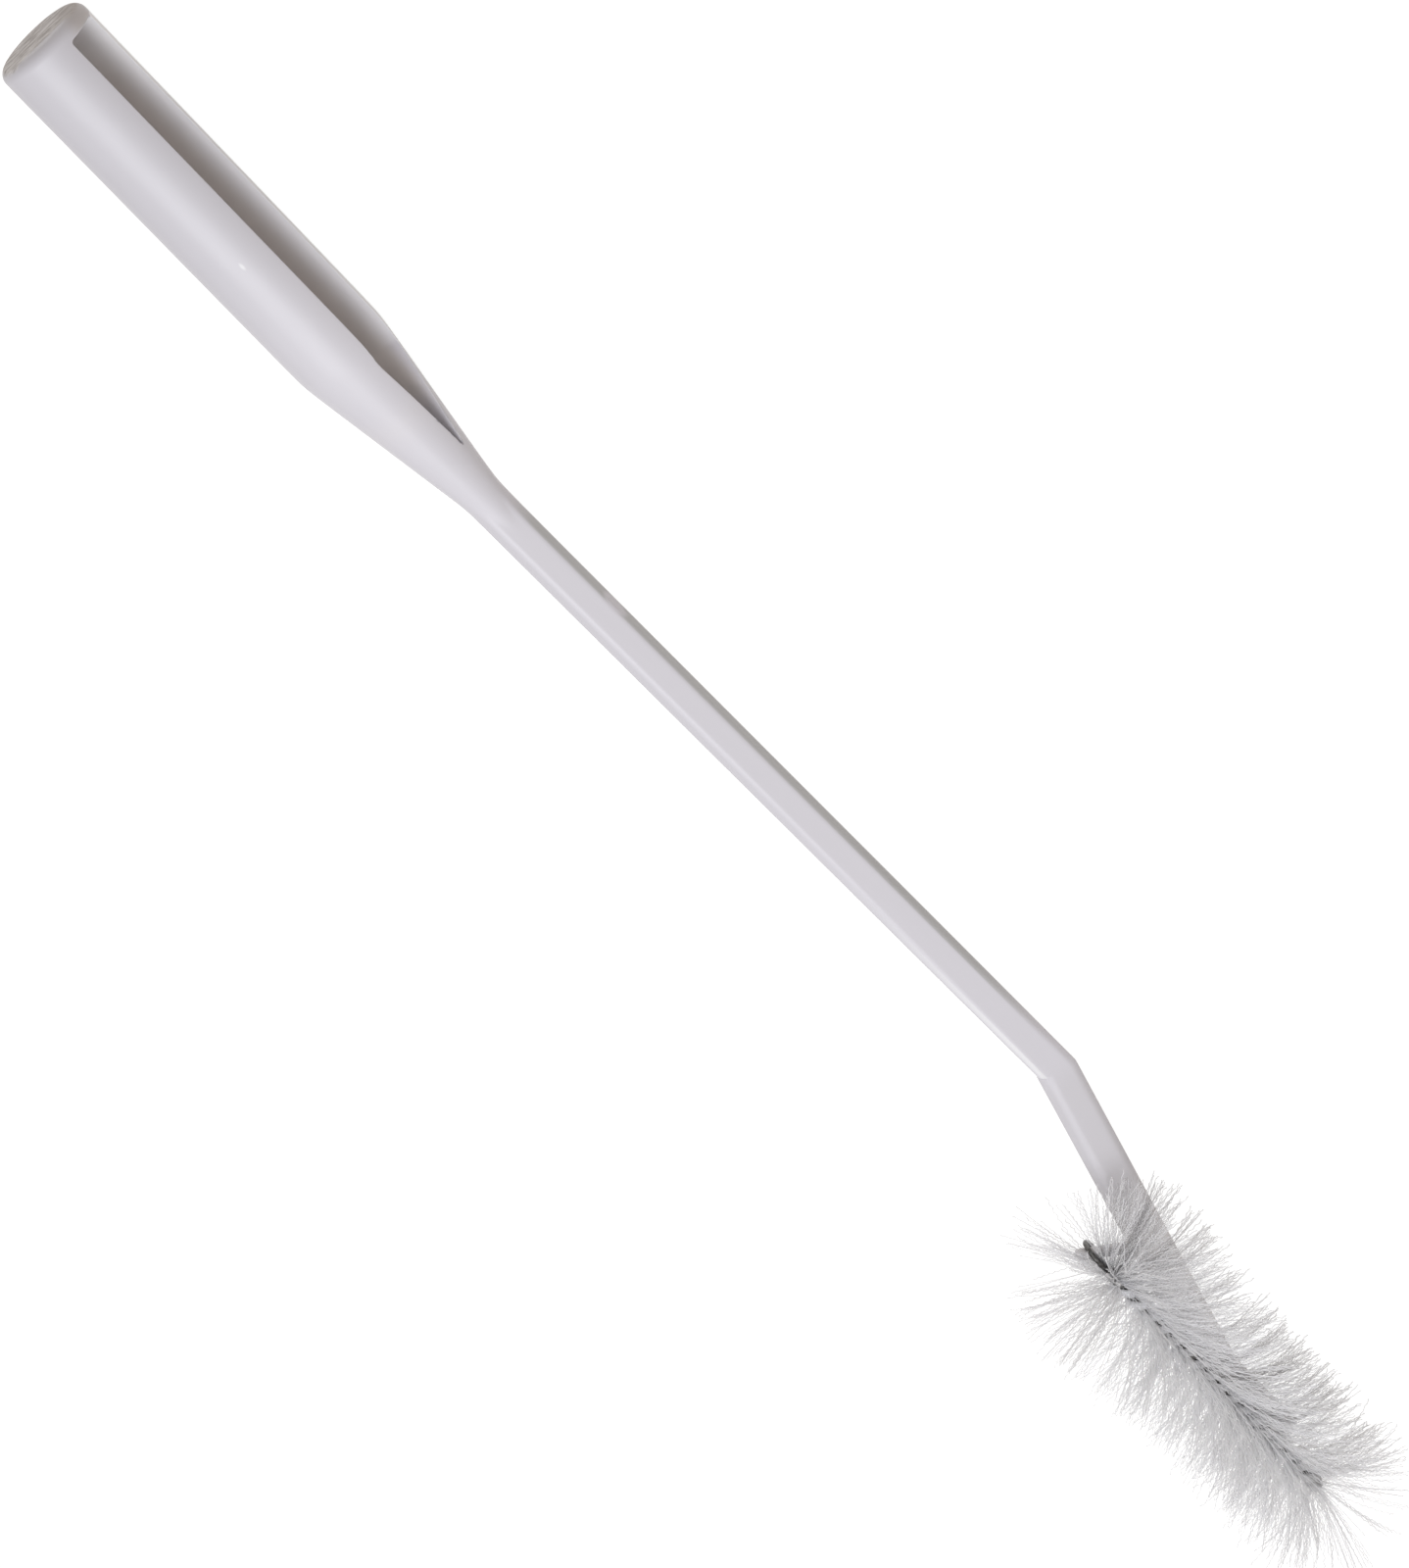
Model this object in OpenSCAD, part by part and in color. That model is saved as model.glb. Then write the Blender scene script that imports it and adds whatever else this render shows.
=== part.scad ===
// Bottle brush: a one-piece moulded handle, a folded and twisted wire, and the bristles it clamps.
// The parts are drawn along the grip's axis, front side up, and then laid down as the brush rests:
// on the end of its grip's cylinder, on its elbow and on its bristles.

/* [Grip] */
// Diameter of the grip
grip_d = 20.3; // [16:0.1:26]
// Length of the grip's cylinder, from the end face to the start of the taper
grip_len = 82.8; // [60:0.1:120]
// Length of the taper between the grip and the shaft
taper_len = 39.8; // [25:0.1:60]
// Radius of the rounded rim round the end face
rim_r = 2.2; // [0.3:0.1:3]
// Slight bow of the grip out of line with the shaft
bow_a = 0.9; // [0:0.1:2]

/* [Grip slot] */
// Width of the channel moulded into the grip
slot_w = 8.7; // [6:0.1:12]
// Depth of the channel, from the grip's surface to its round bottom
slot_depth = 14; // [9:0.1:15]
// Thickness of the wall that closes the grip's end
end_wall = 3; // [2:0.1:6]
// Place of the channel's pointed end, measured from the start of the taper
slot_tip = 30.3; // [20:0.1:34]
// Stretch over which the channel narrows to its point
slot_narrow = 25.8; // [15:0.1:30]
// Radius of the channel's corners by the end wall
slot_corner_r = 0.8; // [0.3:0.1:2]
// Radius of the channel's pointed end
slot_tip_r = 0.4; // [0.2:0.1:1]
// Direction that the channel opens in, turned from the front side
slot_turn = 45; // [20:1:80]

/* [Shaft] */
// Length of the shaft, from the end of the taper to the elbow
shaft_len = 181.6; // [120:0.1:260]
// Width of the shaft across its parting line
shaft_w = 8.6; // [6:0.1:12]
// Width of the flat front and back faces
shaft_flat = 5.6; // [3:0.1:8]
// Depth of the shaft, front to back
shaft_t = 6.2; // [4:0.1:10]
// Radius of the edges of the front and back faces
edge_r = 1; // [0.4:0.1:1.5]

/* [Arm] */
// Width of the arm, which is a little more than the shaft's
arm_w = 9.1; // [6:0.1:12]
// Length of the arm, from the elbow to the second bend
arm_len = 84.9; // [60:0.1:120]
// Angle of the elbow
elbow_a = 14.6; // [8:0.1:25]
// Length of the saddle that carries the brush, beyond the second bend
saddle_len = 24; // [10:0.5:44]
// Depth of the groove that beds the twisted wire
groove_depth = 0.5; // [0.2:0.1:1]

/* [Peg] */
// Diameter of the peg that holds the wire's eye
peg_d = 2.7; // [2:0.1:4]
// Length of the peg, from the arm's side
peg_len = 12.2; // [9:0.1:18]
// Place of the peg's root along the arm, from the elbow
peg_at = 46.4; // [30:0.5:60]
// Backward lean of the peg, from square across the shaft
peg_lean = 41; // [20:1:60]
// Height of the peg above the handle's mid plane
peg_z = 1; // [0:0.1:1.6]

/* [Wire] */
// Diameter of the wire
wire_d = 1.2; // [0.8:0.05:1.6]
// Room between the two legs, filled by the filaments that they clamp
leg_gap = 0.15; // [0.05:0.05:0.4]
// Length of the twisted stem that carries the bristles
stem_len = 75.7; // [60:0.1:110]
// Length over which the legs make one full turn
twist_pitch = 8.4; // [6:0.1:14]
// Distance of the stem's start from the shaft's axis
stem_out = 23.1; // [16:0.1:30]
// Angle between the stem and the shaft
stem_a = 1.2; // [0:0.1:3]
// How many times larger the eye is than the closest fit round the peg
eye_loose = 1.74; // [1.5:0.02:2.4]
// Turn of the eye's plane out of the handle's mid plane
eye_turn = 78; // [40:1:80]

/* [Bristles] */
// Diameter of the brush across its bristles
brush_d = 42; // [30:0.5:60]
// How far the rear tuft splays back past the stem's start
rear_splay = 21.7; // [8:0.1:26]
// How far the front tuft splays out past the stem's tip
front_splay = 19; // [8:0.5:26]
// How deep the bristles give where they rest
brush_sink = 1; // [0.3:0.1:2]
// Clearance between the bristles and the handle
bristle_gap = 0.3; // [0.2:0.05:1]
// Clearance between the bristles and the twisted wire
wire_gap = 0.03; // [0.01:0.01:0.2]

/* [Hidden] */

round_fn = 96;
peg_fn = 48;
wire_sides = 8;
corner_steps = 6;
rings_a_turn = 8;
eye_steps = 14;
neck_steps = 6;
cut_size = 200;
white = [0.84, 0.83, 0.85];
steel = [0.32, 0.31, 0.31];
nylon = [0.9, 0.9, 0.92];

grip_r = grip_d / 2;
brush_r = brush_d / 2;
taper_end = grip_len + taper_len;
taper_slope = (grip_r - shaft_w / 2) / taper_len;
elbow_x = taper_end + shaft_len;
arm_flat = shaft_flat * arm_w / shaft_w;
saddle_a = stem_a;

// The elbow's joint plane runs through its inner and outer corners.
elbow_cut = atan((arm_w / shaft_w - cos(elbow_a)) / sin(elbow_a));
bend_cut = (elbow_a + saddle_a) / 2;
bend_x = elbow_x + arm_len * cos(elbow_a);
bend_y = -arm_len * sin(elbow_a);

// The stem's axis lies in the groove, on the front of the saddle.
helix_r = (wire_d + leg_gap) / 2;
stem_r = helix_r + wire_d / 2;
stem_z = shaft_t / 2 - groove_depth + stem_r;

// The peg's root is on the arm's outer side, and its axis passes just behind the eye's middle.
peg_dir = [-sin(peg_lean), -cos(peg_lean), 0];
peg_root = [elbow_x + peg_at * cos(elbow_a) - arm_w / 2 * sin(elbow_a),
            -peg_at * sin(elbow_a) - arm_w / 2 * cos(elbow_a), peg_z];
peg_bury = arm_w / 2;
eye_r = eye_loose * (peg_d + wire_d) / 2;
eye_shift = 0.7;
eye_along = (stem_out - eye_shift + peg_root[1]) / cos(peg_lean);
eye_mid = peg_root + peg_dir * eye_along + [eye_shift, 0, 0];

// The stem starts a set distance past the eye, where the legs have come together.
neck_len = 1.75 * eye_r;
stem_start = [eye_mid[0] + neck_len, -stem_out, stem_z];
stem_dir = [cos(stem_a), -sin(stem_a), 0];
stem_tip = stem_start + stem_dir * stem_len;

function smooth(t) = t <= 0 ? 0 : t >= 1 ? 1 : t * t * (3 - 2 * t);
function mix(a, b, t) = a + (b - a) * t;
function unit(v) = v / norm(v);

// Points of an arc that rounds the corner b between a and c to radius r.
function corner(a, b, c, r) =
    let (u = unit(a - b), v = unit(c - b), half = acos(u * v) / 2,
         mid = b + unit(u + v) * r / sin(half),
         from = b + u * r / tan(half) - mid, to = b + v * r / tan(half) - mid)
    [for (i = [0:corner_steps]) mid + unit(mix(from, to, i / corner_steps)) * r];

// ---- How the brush lies ----
// The roll about the shaft's axis is found by halving, so that all three places touch at once.
function below(turn, y, z) = sin(turn) * y - cos(turn) * z;
function elbow_reach(turn) = max(below(turn, shaft_w / 2, 0),
                                 below(turn, shaft_flat / 2, -shaft_t / 2));
rest_x = taper_end - taper_len * cos(bow_a);
function grip_reach(turn) = grip_r + below(turn, taper_len * sin(bow_a), 0);
function slope(turn) = (elbow_reach(turn) - grip_reach(turn)) / (elbow_x - rest_x);
function brush_gap(turn) = slope(turn) * (stem_tip[0] - rest_x) + grip_reach(turn)
    - below(turn, stem_tip[1], stem_z) - (brush_r - brush_sink);
function settle(low, high, n) = n == 0 ? (low + high) / 2 :
    let (mid = (low + high) / 2)
    brush_gap(mid) < 0 ? settle(mid, high, n - 1) : settle(low, mid, n - 1);
lie_turn = settle(0, 85, 24);
lie_pitch = -asin(slope(lie_turn));
stand_h = grip_reach(lie_turn) * cos(lie_pitch) + rest_x * sin(lie_pitch);

// The middle of the space that the brush takes up, at floor level.
tip_side = stem_tip[1] * cos(lie_turn) + stem_z * sin(lie_turn);
grip_side = grip_r + (taper_end - rim_r) * sin(bow_a) * cos(lie_turn);
mid_side = (grip_side + tip_side - brush_r) / 2;
far_x = (stem_tip[0] + front_splay) * cos(lie_pitch);
near_x = -(grip_r - rim_r) * sin(lie_pitch);
mid_x = (far_x + near_x) / 2;

module laid_down() {
    translate([-mid_x, -mid_side, stand_h])
        rotate([0, lie_pitch, 0])
            rotate([-lie_turn, 0, 0])
                children();
}

// ---- Handle ----
// Half outline of the grip and its taper, as radius and length.
module grip_outline() {
    cone_end = taper_end + (shaft_w - shaft_flat) / 2 / taper_slope;
    polygon(concat(
        [[0, 0]],
        corner([0, 0], [grip_r, 0], [grip_r, grip_len], rim_r),
        [[grip_r, grip_len], [shaft_flat / 2, cone_end], [0, cone_end]]));
}

// The grip leaves the shaft's line at the taper's end.
module bowed() {
    translate([taper_end, 0, 0])
        rotate([0, 0, -bow_a])
            translate([-taper_end, 0, 0])
                children();
}

module grip_solid() {
    rotate([0, 90, 0])
        rotate_extrude($fn = round_fn)
            grip_outline();
}

// The channel seen square on: straight, then narrowing to a point.
module slot_outline() {
    half = slot_w / 2;
    tip = grip_len + slot_tip;
    polygon(concat(
        corner([tip, half], [end_wall, half], [end_wall, -half], slot_corner_r),
        corner([end_wall, half], [end_wall, -half], [tip, -half], slot_corner_r),
        [[tip - slot_narrow, -half]],
        corner([tip - slot_narrow, -half], [tip, 0], [tip - slot_narrow, half], slot_tip_r),
        [[tip - slot_narrow, half]]));
}

module slot_space() {
    low = grip_r - slot_depth;
    rotate([-slot_turn, 0, 0])
        intersection() {
            translate([0, 0, low])
                linear_extrude(slot_depth + grip_r)
                    slot_outline();
            rotate([90, 0, 90])
                linear_extrude(taper_end)
                    union() {
                        translate([0, low + slot_w / 2])
                            circle(d = slot_w, $fn = round_fn);
                        translate([-slot_w / 2, low + slot_w / 2])
                            square([slot_w, slot_depth + grip_r]);
                    }
        }
}

// Section of the bar: flat front and back, and sides that slope away from the parting line.
// The room that the bristles leave for the bar is a gap larger, and keeps its edges sharp.
function bar_outline(gap) =
    let (half = shaft_w / 2 + gap, flat = (shaft_flat + gap) / 2, deep = shaft_t / 2 + gap)
    [[half, 0], [flat, deep], [-flat, deep], [-half, 0], [-flat, -deep], [flat, -deep]];
function rounded(pts) = [for (i = [0:5])
    let (r = i % 3 == 0 ? edge_r / 2 : edge_r)
    each corner(pts[(i + 5) % 6], pts[i], pts[(i + 1) % 6], r)];

// Where the bar's section stands along it: place, turn of its plane, and stretch across it.
function bar_stations(gap) = [
    [taper_end - taper_len / 3, 0, 0, 1],
    [elbow_x, 0, elbow_cut, 1 / cos(elbow_cut)],
    [bend_x, bend_y, bend_cut, arm_w / shaft_w / cos(elbow_a - bend_cut)],
    [bend_x + (saddle_len + gap) * cos(saddle_a), bend_y - (saddle_len + gap) * sin(saddle_a),
     saddle_a, arm_w / shaft_w]];

module bar(gap = 0) {
    outline = gap > 0 ? bar_outline(gap) : rounded(bar_outline(0));
    n = len(outline);
    at = bar_stations(gap);
    points = [for (s = at, p = outline)
        [s[0] + p[0] * s[3] * sin(s[2]), s[1] + p[0] * s[3] * cos(s[2]), p[1]]];
    walls = [for (i = [0:len(at) - 2], k = [0:n - 1])
        [i * n + k, (i + 1) * n + k, (i + 1) * n + (k + 1) % n, i * n + (k + 1) % n]];
    ends = [[for (k = [0:n - 1]) k], [for (k = [n - 1:-1:0]) (len(at) - 1) * n + k]];
    polyhedron(points, concat(walls, ends));
}

// The bar, with the end of its saddle rounded as seen from the front.
module bar_and_saddle(gap = 0) {
    intersection() {
        bar(gap);
        translate([bend_x, bend_y, -arm_w])
            rotate([0, 0, -saddle_a])
                linear_extrude(2 * arm_w)
                    saddle_plan(gap);
    }
}

module saddle_plan(gap) {
    half = cut_size / 2;
    tip = saddle_len + gap;
    near = arm_w / 2 + gap;
    polygon(concat(
        [[-2 * cut_size, -half], [0, -half], [saddle_len / 3, -near]],
        corner([0, -near], [tip, -near], [tip, near], arm_w / 3),
        corner([tip, -near], [tip, near], [0, near], arm_w / 3),
        [[saddle_len / 3, near], [0, half], [-2 * cut_size, half]]));
}

module peg(gap = 0) {
    translate(peg_root)
        rotate([0, 0, 270 - peg_lean])
            rotate([0, 90, 0])
                translate([0, 0, -peg_bury])
                    cylinder(h = peg_bury + peg_len + gap, d = peg_d + 2 * gap, $fn = peg_fn);
}

module stem_rod(d, from, to) {
    translate(stem_start)
        rotate([0, 0, -stem_a])
            rotate([0, 90, 0])
                translate([0, 0, from])
                    cylinder(h = to - from, d = d, $fn = peg_fn);
}

module handle() {
    color(white)
        laid_down()
            difference() {
                union() {
                    bowed()
                        grip_solid();
                    bar_and_saddle();
                    peg();
                }
                bowed()
                    slot_space();
                stem_rod(2 * stem_r, 0, stem_len);
            }
}

// ---- Wire ----
eye_side = [0, -cos(eye_turn), sin(eye_turn)];
eye_face = [0, sin(eye_turn), cos(eye_turn)];
eye_end_a = 65;

// One leg, from the eye's back to the stem's tip: [along the axis, out from it, turn about it].
function leg_rows() = concat(
    [for (i = [0:eye_steps])
        let (a = mix(180, eye_end_a, i / eye_steps)) [eye_r * cos(a), eye_r * sin(a), 0]],
    [for (i = [1:neck_steps])
        let (t = i / neck_steps, from_q = eye_r * cos(eye_end_a), from_r = eye_r * sin(eye_end_a))
        [mix(from_q, neck_len, t), mix(from_r, helix_r, 1 - pow(1 - t, 1.3)), 90 * t * t]],
    [for (i = [1:ceil(stem_len / twist_pitch * rings_a_turn)])
        let (q = i * stem_len / ceil(stem_len / twist_pitch * rings_a_turn))
        [neck_len + q, helix_r, 90 + 360 * q / twist_pitch]]);

function axis_point(q) =
    q >= neck_len ? stem_start + stem_dir * (q - neck_len) :
    [eye_mid[0] + q, mix(eye_mid[1], -stem_out, smooth(q / neck_len)),
     mix(eye_mid[2], stem_z, smooth(q / neck_len))];

function leg_point(row, side) =
    axis_point(row[0]) + side * row[1] * (eye_side * cos(row[2]) + eye_face * sin(row[2]));

function wire_route() =
    let (rows = leg_rows(), n = len(rows))
    concat([for (i = [n - 1:-1:0]) leg_point(rows[i], 1)],
           [for (i = [1:n - 1]) leg_point(rows[i], -1)]);

// Ring frames are carried along the route without twisting.
function heading(p, i) = unit(p[min(i + 1, len(p) - 1)] - p[max(i - 1, 0)]);
function carry(v, t) = unit(v - t * (v * t));
function frames(p, i, v, out) = i == len(p) ? out :
    let (w = carry(v, heading(p, i)))
    frames(p, i + 1, w, concat(out, [w]));

module swept_wire(p, d) {
    n = len(p);
    side = frames(p, 0, [0.3, 0.5, 0.8], []);
    points = [for (i = [0:n - 1], k = [0:wire_sides - 1])
        let (a = 360 * k / wire_sides, up = cross(heading(p, i), side[i]))
        p[i] + d / 2 * (side[i] * cos(a) + up * sin(a))];
    walls = [for (i = [0:n - 2], k = [0:wire_sides - 1])
        let (a = i * wire_sides + k, b = i * wire_sides + (k + 1) % wire_sides)
        [a, a + wire_sides, b + wire_sides, b]];
    ends = [[for (k = [0:wire_sides - 1]) k],
            [for (k = [wire_sides - 1:-1:0]) (n - 1) * wire_sides + k]];
    polyhedron(points, concat(walls, ends));
}

module wire_core() {
    color(steel)
        laid_down()
            swept_wire(wire_route(), wire_d);
}

// ---- Bristles ----
crater_r = 10;
dome_steps = 8;

// Half outline of the bristles: an open crater round the eye, a straight flank and a domed front.
module bristle_outline() {
    flank = stem_len + 2;
    polygon(concat(
        [[0, 0.5], [stem_r + 1, 0.5], [crater_r, -7], [brush_r - 4.5, -rear_splay],
         [brush_r, -rear_splay + 7]],
        [for (i = [0:dome_steps - 1])
            let (a = 90 * i / dome_steps)
            [brush_r * cos(a), flank + (front_splay - 2) * sin(a)]],
        [[brush_r / 6, stem_len + front_splay], [0, stem_len + front_splay]]));
}

module bristles() {
    color(nylon)
        difference() {
            laid_down()
                difference() {
                    translate(stem_start)
                        rotate([0, 0, -stem_a])
                            rotate([0, 90, 0])
                                rotate_extrude($fn = round_fn)
                                    bristle_outline();
                    bar_and_saddle(bristle_gap);
                    peg(bristle_gap);
                    stem_rod(2 * (stem_r + wire_gap), -1, stem_len + wire_d / 2);
                }
            translate([0, 0, -cut_size])
                cube([4 * cut_size, cut_size, 2 * cut_size], center = true);
        }
}

handle();
wire_core();
bristles();
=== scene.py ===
import math

import bpy
import bmesh
import numpy as np
from mathutils import Matrix, Vector


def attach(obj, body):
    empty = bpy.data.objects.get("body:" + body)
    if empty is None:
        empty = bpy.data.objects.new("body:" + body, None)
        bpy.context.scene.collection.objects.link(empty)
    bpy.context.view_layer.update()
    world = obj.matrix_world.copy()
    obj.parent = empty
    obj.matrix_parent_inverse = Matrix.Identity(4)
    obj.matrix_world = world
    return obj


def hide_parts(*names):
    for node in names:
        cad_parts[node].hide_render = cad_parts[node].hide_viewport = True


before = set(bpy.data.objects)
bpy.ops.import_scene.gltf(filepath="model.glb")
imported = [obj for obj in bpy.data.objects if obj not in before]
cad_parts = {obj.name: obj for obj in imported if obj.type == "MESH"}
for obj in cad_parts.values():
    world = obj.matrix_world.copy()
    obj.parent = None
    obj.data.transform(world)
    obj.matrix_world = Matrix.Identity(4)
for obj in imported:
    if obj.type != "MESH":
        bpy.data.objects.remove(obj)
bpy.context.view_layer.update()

mm = 0.001

# The pieces are modelled along the grip's axis, front side up, and then turned to lie on the floor.
lie = dict(turn=41.656615, pitch=1.653489, midX=221.692228, midSide=-12.652453, standHeight=12.950437)
laidDown = (Matrix.Translation(Vector((-lie["midX"], -lie["midSide"], lie["standHeight"])) * mm)
            @ Matrix.Rotation(math.radians(lie["pitch"]), 4, "Y")
            @ Matrix.Rotation(math.radians(-lie["turn"]), 4, "X"))


# One output socket, with arithmetic that adds Math nodes.
class Value:
    def __init__(self, tree, socket):
        self.tree = tree
        self.socket = socket

    def math(self, operation, first, second):
        return self.tree.node("ShaderNodeMath", dict(operation=operation), first, second)

    def __add__(self, other): return self.math("ADD", self, other)
    def __radd__(self, other): return self.math("ADD", other, self)
    def __mul__(self, other): return self.math("MULTIPLY", self, other)
    def __rmul__(self, other): return self.math("MULTIPLY", other, self)
    def __sub__(self, other): return self.math("SUBTRACT", self, other)
    def __rsub__(self, other): return self.math("SUBTRACT", other, self)
    def __truediv__(self, other): return self.math("DIVIDE", self, other)
    def __pow__(self, other): return self.math("POWER", self, other)


# A material's node tree.
class Finish:
    def __init__(self, name):
        self.material = bpy.data.materials.new(name)
        self.material.use_nodes = True
        self.nodes = self.material.node_tree.nodes
        self.links = self.material.node_tree.links
        self.shader = self.nodes["Principled BSDF"]
        self.output = self.nodes["Material Output"]

    def node(self, kind, settings, *inputs, out=0, **named):
        made = self.nodes.new(kind)
        for key, value in settings.items():
            setattr(made, key, value)
        pairs = list(enumerate(inputs)) + [(k.replace("_", " "), v) for k, v in named.items()]
        for key, value in pairs:
            self.feed(made.inputs[key], value)
        return Value(self, made.outputs[out])

    def feed(self, socket, value):
        if isinstance(value, Value):
            self.links.new(value.socket, socket)
        elif value is not None:
            socket.default_value = value

    def set(self, **named):
        for key, value in named.items():
            self.feed(self.shader.inputs[key.replace("_", " ")], value)

    def localPlace(self, matrix):
        # Millimetres in a piece's own frame, found back from its place in the model.
        back = matrix.inverted()
        place = self.node("ShaderNodeTexCoord", {}, out="Object")
        return self.node("ShaderNodeMapping", {}, Vector=place, Location=back.translation / mm,
                         Rotation=back.to_euler(), Scale=(1 / mm, 1 / mm, 1 / mm))

    def split(self, vector):
        separate = self.node("ShaderNodeSeparateXYZ", {}, vector).socket.node
        return [Value(self, output) for output in separate.outputs]

    def joined(self, x, y, z):
        return self.node("ShaderNodeCombineXYZ", {}, x, y, z)

    def noise(self, vector, settings):
        scale, detail, roughness = settings
        return self.node("ShaderNodeTexNoise", {}, Vector=vector, Scale=scale,
                         Detail=detail, Roughness=roughness)

    def between(self, value, low, high, toLow=0.0, toHigh=1.0, smooth=True):
        kind = "SMOOTHSTEP" if smooth else "LINEAR"
        return self.node("ShaderNodeMapRange", dict(interpolation_type=kind),
                         value, low, high, toLow, toHigh)

    def blend(self, factor, first, second):
        others = [None] * 5  # the Mix node's sockets for numbers and vectors
        return self.node("ShaderNodeMix", dict(data_type="RGBA"), factor, *others, first, second, out=2)

    def bump(self, height, strength, distance):
        self.set(Normal=self.node("ShaderNodeBump", {}, Height=height, Strength=strength,
                                  Distance=distance * mm))


def unit(v):
    v = np.asarray(v, float)
    return v / np.linalg.norm(v, axis=-1, keepdims=True)


def deselectAll():
    if bpy.context.object and bpy.context.object.mode != "OBJECT":
        bpy.ops.object.mode_set(mode="OBJECT")
    bpy.ops.object.select_all(action="DESELECT")


def onlySelect(piece):
    deselectAll()
    piece.select_set(True)
    bpy.context.view_layer.objects.active = piece


def named(name):
    piece = bpy.context.object
    piece.name = name
    piece.data.name = name
    return piece


def cut(piece, cutter, operation="DIFFERENCE"):
    onlySelect(piece)
    modifier = piece.modifiers.new("cut", "BOOLEAN")
    modifier.object = cutter
    modifier.operation = operation
    modifier.solver = "EXACT"
    bpy.ops.object.modifier_apply(modifier=modifier.name)
    bpy.data.objects.remove(cutter)


def tidyFaces(piece):
    onlySelect(piece)
    bpy.ops.object.mode_set(mode="EDIT")
    bpy.ops.mesh.select_all(action="SELECT")
    bpy.ops.mesh.remove_doubles(threshold=0.002 * mm)
    bpy.ops.mesh.normals_make_consistent(inside=False)
    bpy.ops.object.mode_set(mode="OBJECT")


def bevelEdges(piece, width, steps, test, **settings):
    # Bevels the edges whose middle and direction pass the test.
    onlySelect(piece)
    bpy.ops.object.mode_set(mode="EDIT")
    bpy.ops.mesh.select_mode(type="EDGE")
    bpy.ops.mesh.select_all(action="DESELECT")
    mesh = bmesh.from_edit_mesh(piece.data)
    for e in mesh.edges:
        start, end = e.verts[0].co / mm, e.verts[1].co / mm
        if test(e, (start + end) / 2, (end - start).normalized()):
            e.select = True
    bmesh.update_edit_mesh(piece.data)
    bpy.ops.mesh.bevel(offset=width * mm, segments=steps, affect="EDGES", **settings)
    bpy.ops.object.mode_set(mode="OBJECT")


def loft(name, rings):
    # Extrudes a closed outline through all the rings, and closes both ends.
    spokes = rings.shape[1]
    bpy.ops.mesh.primitive_circle_add(vertices=spokes, radius=mm, fill_type="NOTHING")
    body = named(name)
    body.data.attributes.new("spoke", "INT", "POINT").data.foreach_set("value", range(spokes))
    bpy.ops.object.mode_set(mode="EDIT")
    bpy.ops.mesh.select_all(action="SELECT")
    for i, ring in enumerate(rings):
        if i:
            bpy.ops.mesh.extrude_region_move()
        mesh = bmesh.from_edit_mesh(body.data)
        layer = mesh.verts.layers.int["spoke"]
        for v in mesh.verts:
            if v.select:
                v.co = ring[v[layer]]
        bmesh.update_edit_mesh(body.data)
    bpy.ops.mesh.select_all(action="SELECT")
    bpy.ops.mesh.fill_holes(sides=0)
    bpy.ops.mesh.normals_make_consistent(inside=False)
    bpy.ops.object.mode_set(mode="OBJECT")
    return body


def layDown(piece, smoothUpTo):
    onlySelect(piece)
    bpy.ops.object.shade_smooth_by_angle(angle=math.radians(smoothUpTo))
    piece.data.transform(laidDown)
    piece.data.update()


def finishPiece(piece, finish, slotName, *nodes):
    piece.data.materials.clear()
    piece.data.materials.append(finish.material)
    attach(piece, "root")
    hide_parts(*nodes)


# Millimetres and degrees, measured from the grip's end.
handleSizes = dict(
    # The grip with its rounded end, and the long taper, which is bowed a little out of line.
    gripRadius=10.15, gripLength=82.8, taperLength=39.8, rimRadius=2.2, coneSoftness=0.3,
    bow=0.9, bowHalf=11.0,
    # The shaft is a six-sided bar; its parting line rises on both sides by the elbow.
    shaftWidth=8.6, shaftFlat=5.6, shaftDepth=6.2, shaftLength=181.6, edgeRadius=1.6,
    rootBlend=0.3, rootEnd=140.0, elbowLeft=2.5, armRight=2.1,
    # The arm, and the saddle behind the brush.
    elbow=14.6, armWidth=9.1, armLength=84.9, armEdgeRadius=2.0, saddle=1.2, saddleLength=24.0,
    mitreReach=4.0, elbowSoft=0.35, bendSoft=0.5,
    # The channel in the grip.
    slotWidth=8.7, slotDepth=14.0, endWall=3.0, slotTip=30.3, slotNarrow=25.8, slotTurn=45.0,
    slotCorner=0.8, slotShoulder=1.2, slotTipRadius=0.4, slotAbove=3.0, mouthEdge=0.16,
    slotSteps=dict(tip=10, shoulder=3, corner=5), bevelSteps=3,
    # The peg that the wire's eye hooks on.
    pegRadius=1.35, pegLength=12.2, pegAt=46.4, pegLean=41.0, pegHeight=1.0, pegRound=0.15,
    # The mesh: spokes across the channel's mouth and round the rest, and beside the parting line.
    mouthSpokes=18, roundSpokes=101, partingSpokes=[88.4, 91.6, 268.4, 271.6],
    rimSteps=9, tipSteps=6, pegSides=40, smoothUpTo=32)

# Where the rings of the mesh stand: on the grip and the taper, where the taper runs out into the
# bar, and where the parting line rises.
taperRings = [20, 40, 60, 74, 78, 80, 81.3, 82.05, 82.8, 83.55, 84.3, 85.3, 87, 90, 95, 100, 104, 107]
rootRings = [*np.arange(108, 138.1, 0.75), 142, 160, 200]
risingRings = [215, 232, 248, 262, 274, 285, 294]

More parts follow.
